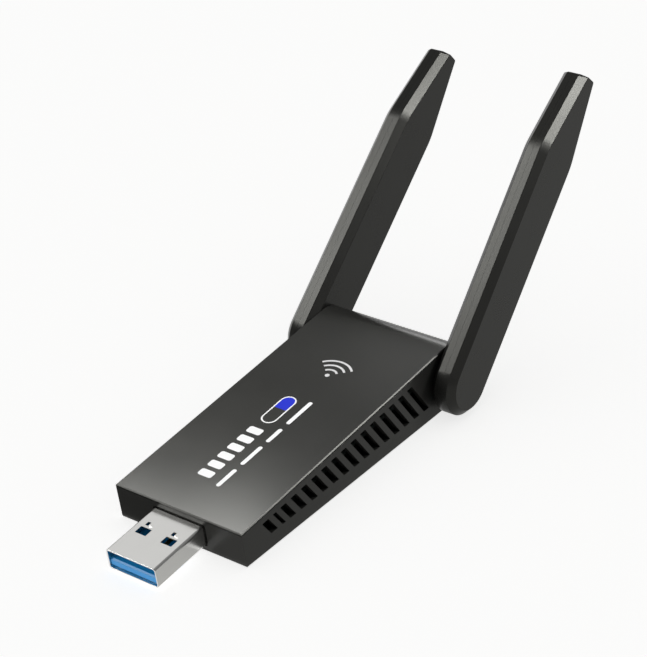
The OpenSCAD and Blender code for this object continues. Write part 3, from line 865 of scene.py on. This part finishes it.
def make_tongue():
    front = -plug_out + 0.35 * mm
    lead = 0.45 * mm
    top_lead = 0.8 * lead
    rear = 0.5 * mm
    outline = [(front + lead, tongue_floor), (rear, tongue_floor), (rear, tongue_top),
               (front + top_lead, tongue_top), (front, tongue_top - top_lead), (front, tongue_floor + lead)]
    tongue = prism("plug_tongue", outline, -tongue_side, tongue_side)
    bed_start = -plug_out + 2.6 * mm
    bed_end = -plug_out + 10.2 * mm
    beds = [prism("bed", rectangle(x - pad_w / 2, x + pad_w / 2, bed_start, bed_end),
                  tongue_top - 0.12 * mm, tongue_top + 1 * mm, plane="up") for x in pad_places]
    carve(tongue, beds)
    return soften(tongue, 0.06 * mm, segments=2)


dress(make_tongue(), blue_plastic, "case", "blue_plastic", "usb_tongue")


# %% Contact pads from Geometry Nodes
def pad_tree():
    number = "NodeSocketFloat"
    graph, wires, leave, identifiers = geometry_tree("contact_pads", {
        "Inner": number, "Outer": number, "Width": number, "Length": number, "Thickness": number,
        "Material": "NodeSocketMaterial"})
    index = graph.node("GeometryNodeInputIndex")
    is_left = index < 1.5
    is_outer = (index < 0.5) + (index > 2.5)
    reach = is_outer * wires["Outer"] + (1 - is_outer) * wires["Inner"]
    across = reach * (1 - is_left * 2)
    row = graph.node("GeometryNodeMeshLine", None, {"Count": 4})
    place = graph.node("ShaderNodeCombineXYZ", None, {"X": across})
    row = graph.node("GeometryNodeSetPosition", None, {"Geometry": row, "Position": place})
    size = graph.node("ShaderNodeCombineXYZ", None,
                      {"X": wires["Width"], "Y": wires["Length"], "Z": wires["Thickness"]})
    pad = graph.node("GeometryNodeMeshCube", None, {"Size": size})
    pads = graph.node("GeometryNodeInstanceOnPoints", None, {"Points": row, "Instance": pad})
    solid = graph.node("GeometryNodeRealizeInstances", None, {"Geometry": pads})
    done = graph.node("GeometryNodeSetMaterial", None, {"Geometry": solid, "Material": wires["Material"]})
    graph.feed(leave.inputs[0], done)
    return graph, identifiers


pad_graph, pad_inputs = pad_tree()
contact_pads = grown("contact_pads", pad_graph, pad_inputs, {
    "Inner": pad_places[2], "Outer": pad_places[3], "Width": pad_w - 0.04 * mm, "Length": 7.5 * mm,
    "Thickness": 0.14 * mm, "Material": gold_contact})
place_mesh(contact_pads, case_frame @ Matrix.Translation((0, -plug_out + 6.4 * mm, tongue_top - 0.04 * mm)))
dress(soften(contact_pads, 0.04 * mm, segments=2), gold_contact, "case", "gold_contact", "usb_contact_pads")

# %% [markdown]
# ## The antennas
# ### Outline
# An antenna is a long paddle: a round end about the hinge, straight sides, a soft bend, and a taper to a
# blunt tip. Both faces are bevelled round the end and along the sides, and the tip is cut off square.
# Moving the outline inwards gives the ring at each face, and lofting through the rings gives the bevels.

# %% Antenna outline
ant_t = 5.6 * mm
ant_r = 6.8 * mm
ant_len = 66.5 * mm
ant_bend = 49.4 * mm
ant_bevel = 1.4 * mm
ant_wall = 1.1 * mm
tip_half = 2.86 * mm
tip_round = 1.0 * mm
bend_round = 14 * mm
taper = math.atan((ant_r - tip_half) / (ant_len - ant_bend))
part_gap = 0.03 * mm


def antenna_outline(inset, tip_in=0):
    """The outline in y and z, moved inwards along its sides and at its tip."""
    bend_start = ant_bend - bend_round * math.tan(taper / 2)
    corner = max(tip_round - inset, 0.4 * mm)
    corner_z = ant_len - tip_in - corner
    corner_y = ant_r - (corner_z - ant_bend) * math.tan(taper) - (inset + corner) / math.cos(taper)
    side = arc((0, 0), ant_r - inset, -math.pi / 2, 0, 40)
    side += arc((ant_r - bend_round, bend_start), bend_round - inset, 0, taper, 8)
    side += arc((corner_y, corner_z), corner, taper, math.pi / 2, 4)
    return side + [(-y, z) for y, z in reversed(side[1:])]


def antenna_slab(name, stations, place):
    """A solid through outlines, each at its own x, with its inset and, if it has one, its tip's."""
    rings = [[(x, y, z) for y, z in antenna_outline(*insets)] for x, *insets in stations]
    return loft(name, rings, place)


def round_bar(start, end, radius, place):
    """A round bar on the antenna's hinge axis."""
    return loft("bar", [[(x, y, z) for y, z in circle((0, 0), radius)] for x in (start, end)], place)


# %% Antenna housings
split = ant_t / 2
flange_r = 3.7 * mm
floor_x = ant_wall + 0.02 * mm
flange_t = 0.8 * mm


def skin_edges(place):
    """Picks out the edges on the outside of an antenna; those inside it and along the parting stay sharp."""
    home = place.inverted()

    def share(middle):
        local = home @ middle
        on_ring = any(abs(local.x - x) < 0.01 * mm for x in (0, ant_bevel, ant_t - ant_bevel, ant_t))
        inside = math.hypot(local.y, local.z) < flange_r
        return 0.0 if inside else 1.0 if on_ring or local.z > ant_len - 0.02 * mm else 0.0

    return share


def make_antenna_shell(side, place):
    shell = antenna_slab(side + "_antenna_outer_shell",
                         [(split + part_gap / 2, 0), (ant_t - ant_bevel, 0), (ant_t, ant_bevel)], place)
    core = antenna_slab("core", [(split - 1 * mm, ant_wall, ant_wall),
                                 (ant_t - ant_wall, ant_wall, ant_wall)], place)
    carve(shell, [core])
    collar_start = floor_x + flange_t + 0.04 * mm
    collar = round_bar(collar_start, ant_t - ant_wall / 2, flange_r, place)
    carve(collar, [round_bar(floor_x, ant_t - ant_wall, flange_r - 0.8 * mm, place)])
    carve(shell, [collar], "UNION")
    return soften(shell, 0.11 * mm, angle=20, share=skin_edges(place))


def make_antenna_cover(side, place):
    cover = antenna_slab(side + "_antenna_inner_shell",
                         [(0, ant_bevel), (ant_bevel, 0), (split - part_gap / 2, 0)], place)
    core = antenna_slab("core", [(ant_wall, ant_wall, ant_wall), (ant_t, ant_wall, ant_wall)], place)
    carve(cover, [core, round_bar(-1 * mm, split, 2.51 * mm, place)])
    return soften(cover, 0.11 * mm, angle=20, share=skin_edges(place))


for side in ("right", "left"):
    place = antenna_frame(side)
    body = side + "_antenna"
    dress(make_antenna_shell(side, place), antenna_plastic, body, "antenna_plastic", body + "_shell")
    dress(make_antenna_cover(side, place), antenna_plastic, body, "antenna_plastic", body + "_cover")

# %% [markdown]
# ## Printed marks
# The real cover carries a line of print. Here it is plain and generic: a row of blocks, a row of dashes, a
# pill-shaped badge with a blue half, and the three arcs that anyone reads as wireless. Each is a thin layer
# of ink, flat on the cover and sunk into it by a hair so that no edge floats.


# %% Make the marks
ink_low = front_h - 0.02 * mm
ink_high = front_h + 0.015 * mm


def mark(name, outline, low_z=ink_low, high_z=ink_high):
    return prism(name, outline, low_z, high_z, plane="up")


def ring_sector(centre, inner, outer, start, end):
    steps = 20
    return arc(centre, outer, start, end, steps) + arc(centre, inner, end, start, steps)


def join_pieces(name, parts):
    """Joins loose solids into one mesh."""
    bm = bmesh.new()
    for part in parts:
        bm.from_mesh(part.data)
        discard(part)
    return new_object(name, bm)


arc_centre = (-0.3 * mm, 46.8 * mm)
arc_start = math.radians(42)
arc_end = math.radians(138)
half_line = 0.24 * mm
arcs = [mark("arc", ring_sector(arc_centre, r - half_line, r + half_line, arc_start, arc_end))
        for r in (1.9 * mm, 3.4 * mm, 4.9 * mm)]
arcs.append(mark("dot", circle(arc_centre, 0.5 * mm, 32)))
dress(join_pieces("wireless_mark", arcs), grey_ink, "case", "case_plastic")

block_places = [(-1.9 * mm, (10.9 + 2.95 * i) * mm) for i in range(6)]
blocks = [mark("block", rounded_rectangle(3.3 * mm, 1.9 * mm, 0.5 * mm, at)) for at in block_places]
dashes = [mark("dash", rounded_rectangle(0.9 * mm, length * mm, 0.44 * mm, (2.4 * mm, at * mm)))
          for at, length in ((11.6, 5.6), (19.2, 6.2), (26.2, 4.6), (34.2, 7.8))]
dress(join_pieces("title_marks", blocks + dashes), white_ink, "case", "case_plastic")

badge_at = (-1.9 * mm, 33.2 * mm)
badge_inside = rounded_rectangle(2.9 * mm, 8.6 * mm, 1.44 * mm, badge_at, 12)
badge = mark("badge", rounded_rectangle(3.5 * mm, 9.2 * mm, 1.74 * mm, badge_at, 12))
hole = mark("hole", badge_inside, ink_low - 1 * mm, ink_high + 1 * mm)
dress(carve(badge, [hole]), white_ink, "case", "case_plastic")
fill = mark("badge_fill", badge_inside, ink_low, ink_high - 0.005 * mm)
front_half = rectangle(-5 * mm, 2 * mm, 28 * mm, 33.6 * mm)
carve(fill, [mark("front_half", front_half, ink_low - 1 * mm, ink_high + 1 * mm)])
dress(fill, blue_ink, "case", "blue_plastic")

# %% [markdown]
# ## What the case holds
# The pieces inside keep the engineering model's shapes, and each gets the finish of its real material, so
# that a glimpse through the vents finds real things.

# %% Finishes for the inner pieces
inner_finish = {
    "usb_contact_springs": gold_contact, "usb_rear_insulator": black_plastic,
    "circuit_board": board_laminate, "wifi_chip": chip_epoxy, "chip_thermal_pad": silicone_pad,
    "flash_memory": chip_epoxy, "crystal": tinned_steel, "rf_amplifiers": chip_epoxy,
    "shield_frame": tinned_steel, "shield_lid": tinned_steel, "lid_thermal_pad": silicone_pad,
    "heat_spreader": spreader_aluminium, "power_inductors": ferrite,
    "voltage_regulators": chip_epoxy, "usb_line_filters": ferrite, "chip_capacitors": capacitor_ceramic,
    "coax_sockets": gold_contact, "right_coax_plug": gold_contact, "left_coax_plug": gold_contact,
    "right_case_coax": coax_jacket, "left_case_coax": coax_jacket, "right_friction_ring": friction_rubber,
    "left_friction_ring": friction_rubber}
antenna_finish = {"hinge_pin": acetal, "retaining_clip": spring_steel, "antenna_board": board_laminate,
                  "antenna_dipole": copper_foil, "antenna_coax": coax_jacket}
for side in ("right", "left"):
    inner_finish.update({f"{side}_{piece}": finish for piece, finish in antenna_finish.items()})
for node, finish in inner_finish.items():
    mesh = frame["nodes"][node].data
    mesh.materials.clear()
    mesh.materials.append(finish)
print("finished nodes:", len(inner_finish))

# %% [markdown]
# ## Stage and light
# A light table makes the plainest portrait: a pale floor that glows a little, so that hardly a shadow
# shows. A dark satin object is drawn by what it reflects, so each soft box stands where one family of faces
# mirrors it, and the faces between them stay dark. The table itself would fill the low walls with light, so
# a black card lies in front of the case and a grey one on its right, as a studio would have them; the cards
# are hidden from the camera and cast no shadow.


# %% Floor and cards
def flat_sheet(name, low_x, high_x, low_y, high_y, z):
    bm = bmesh.new()
    corners = [bm.verts.new(point) for point in
               ((low_x, low_y, z), (high_x, low_y, z), (high_x, high_y, z), (low_x, high_y, z))]
    bm.faces.new(corners)
    return new_object(name, bm)


floor_z = -0.3 * mm
card_z = -0.2 * mm
floor = flat_sheet("floor", -3, 3, -3, 3, floor_z)
floor_paint, _, floor_shader = start_material("floor_paint")
floor_shader.inputs["Base Color"].default_value = rgb(0.9, 0.9, 0.895)
floor_shader.inputs["Roughness"].default_value = 0.9
floor_shader.inputs["Specular IOR Level"].default_value = 0.0
floor_shader.inputs["Emission Color"].default_value = rgb(1, 1, 0.995)
floor_shader.inputs["Emission Strength"].default_value = 0.75
floor.data.materials.append(floor_paint)
wall_y = -foot_len / 2 - 0.5 * mm
card = flat_sheet("black_card", -60 * mm, 4 * mm, wall_y - 11 * mm, wall_y, card_z)
card_reach = 0.3
card_rear = 0.4
grey_card = join_pieces("grey_card", [
    flat_sheet("card", case_w / 2 + 0.3 * mm, card_reach, wall_y, card_rear, card_z),
    flat_sheet("card", -12 * mm, case_w / 2, 42 * mm, card_rear, card_z),
    flat_sheet("card", plug_w / 2 + 0.3 * mm, card_reach, -card_reach, wall_y, card_z)])
for laid, shade, glow in ((card, 0.01, 0.12), (grey_card, 0.4, 0.42)):
    card_paint, _, card_shader = start_material(laid.name + "_paint")
    card_shader.inputs["Base Color"].default_value = rgb(shade, shade, shade)
    card_shader.inputs["Roughness"].default_value = 0.9
    card_shader.inputs["Emission Color"].default_value = rgb(1, 1, 0.98)
    card_shader.inputs["Emission Strength"].default_value = glow
    laid.data.materials.append(card_paint)
    laid.visible_camera = False
    laid.visible_diffuse = False
    laid.visible_shadow = False
print("stage:", floor.name, card.name, grey_card.name)


# %% Lights
def softbox(name, aim, direction, distance, size, power, lit=()):
    """An area light that faces aim from a direction, and shines on the lit pieces or, with none, on all."""
    data = bpy.data.lights.new(name, "AREA")
    data.shape = "RECTANGLE"
    data.size, data.size_y = size
    data.energy = power
    made = bpy.data.objects.new(name, data)
    bpy.context.scene.collection.objects.link(made)
    towards = Vector(direction).normalized()
    made.location = Vector(aim) + towards * distance
    made.rotation_euler = towards.to_track_quat("Z", "Y").to_euler()
    made.visible_camera = False
    if lit:
        receivers = bpy.data.collections.new("lit_by_" + name)
        for piece in lit:
            receivers.objects.link(bpy.data.objects[piece])
        made.light_linking.receiver_collection = receivers


softbox("overhead", (0, 0, 0), (0.05, -0.1, 1), 1.6, (1.6, 1.6), 1.5)
antennas = [f"{side}_antenna_{half}_shell" for side in ("right", "left") for half in ("outer", "inner")]
softbox("left_front_box", (0, 0.05, 0.03), (-0.53, -0.45, 0.72), 0.6, (0.2, 0.2), 1.6, antennas)
softbox("right_high_box", (0.015, 0.07, 0.05), (0.745, 0.12, 0.655), 0.6, (0.13, 0.13), 2.5, antennas)

# %% [markdown]
# The case's flat top mirrors one direction, so three small boxes close above it each light a patch of it,
# the rear one only faintly. The rounded rear and the fine bevels round the top mirror others, and each has
# a box there.

# %% Lights for the case
covers = ("bottom_cover_shell", "top_cover_shell")
above_rear = Vector((-0.05, 0.04, 0.07))
for number, (spot, power) in enumerate([((-0.065, -0.01, 0.08), 0.06), ((-0.035, -0.002, 0.08), 0.072),
                                        ((-0.005, 0.015, 0.08), 0.015)]):
    softbox(f"case_glow_{number}", Vector(spot) - above_rear, above_rear, 0.095, (0.03, 0.03), power, covers)
softbox("barrel_glow", (0.011, 0.034, 0.0135), (-0.55, 0.73, 0.41), 0.13, (0.045, 0.065), 0.045, covers)
softbox("edge_glow", (0.015, 0, 0.01), (0.60, 0.55, 0.58), 0.4, (0.1, 0.1), 1.1, covers)
softbox("front_edge_glow", (0, -0.033, 0.008), (-0.58, -0.66, 0.475), 0.4, (0.1, 0.1), 0.45, covers)

# %% Lights for the print and the plug
marks = ("wireless_mark", "title_marks", "badge", "badge_fill")
softbox("print_glow", (0, 0, 0.01), (0.2, -0.2, 0.9), 0.4, (0.2, 0.2), 1.5, marks)
softbox("plug_glow", (0, -0.04, 0.006), (-0.583, 0.458, 0.671), 0.3, (0.24, 0.24), 0.11, ("plug_shell",))
softbox("rim_glow", (0, -0.045, 0.004), (-0.58, -0.66, 0.475), 0.4, (0.12, 0.12), 0.35,
        ("plug_shell", "plug_tongue"))
print("lights:", len(bpy.data.lights))

# %% World and view
world = bpy.data.worlds.new("studio")
bpy.context.scene.world = world
world.use_nodes = True
backdrop = next(node for node in world.node_tree.nodes if node.type == "BACKGROUND")
backdrop.inputs["Color"].default_value = rgb(1, 1, 1)
backdrop.inputs["Strength"].default_value = 0.2
view = bpy.context.scene.view_settings
view.view_transform = "Standard"
view.look = "None"
print("world strength:", backdrop.inputs["Strength"].default_value)
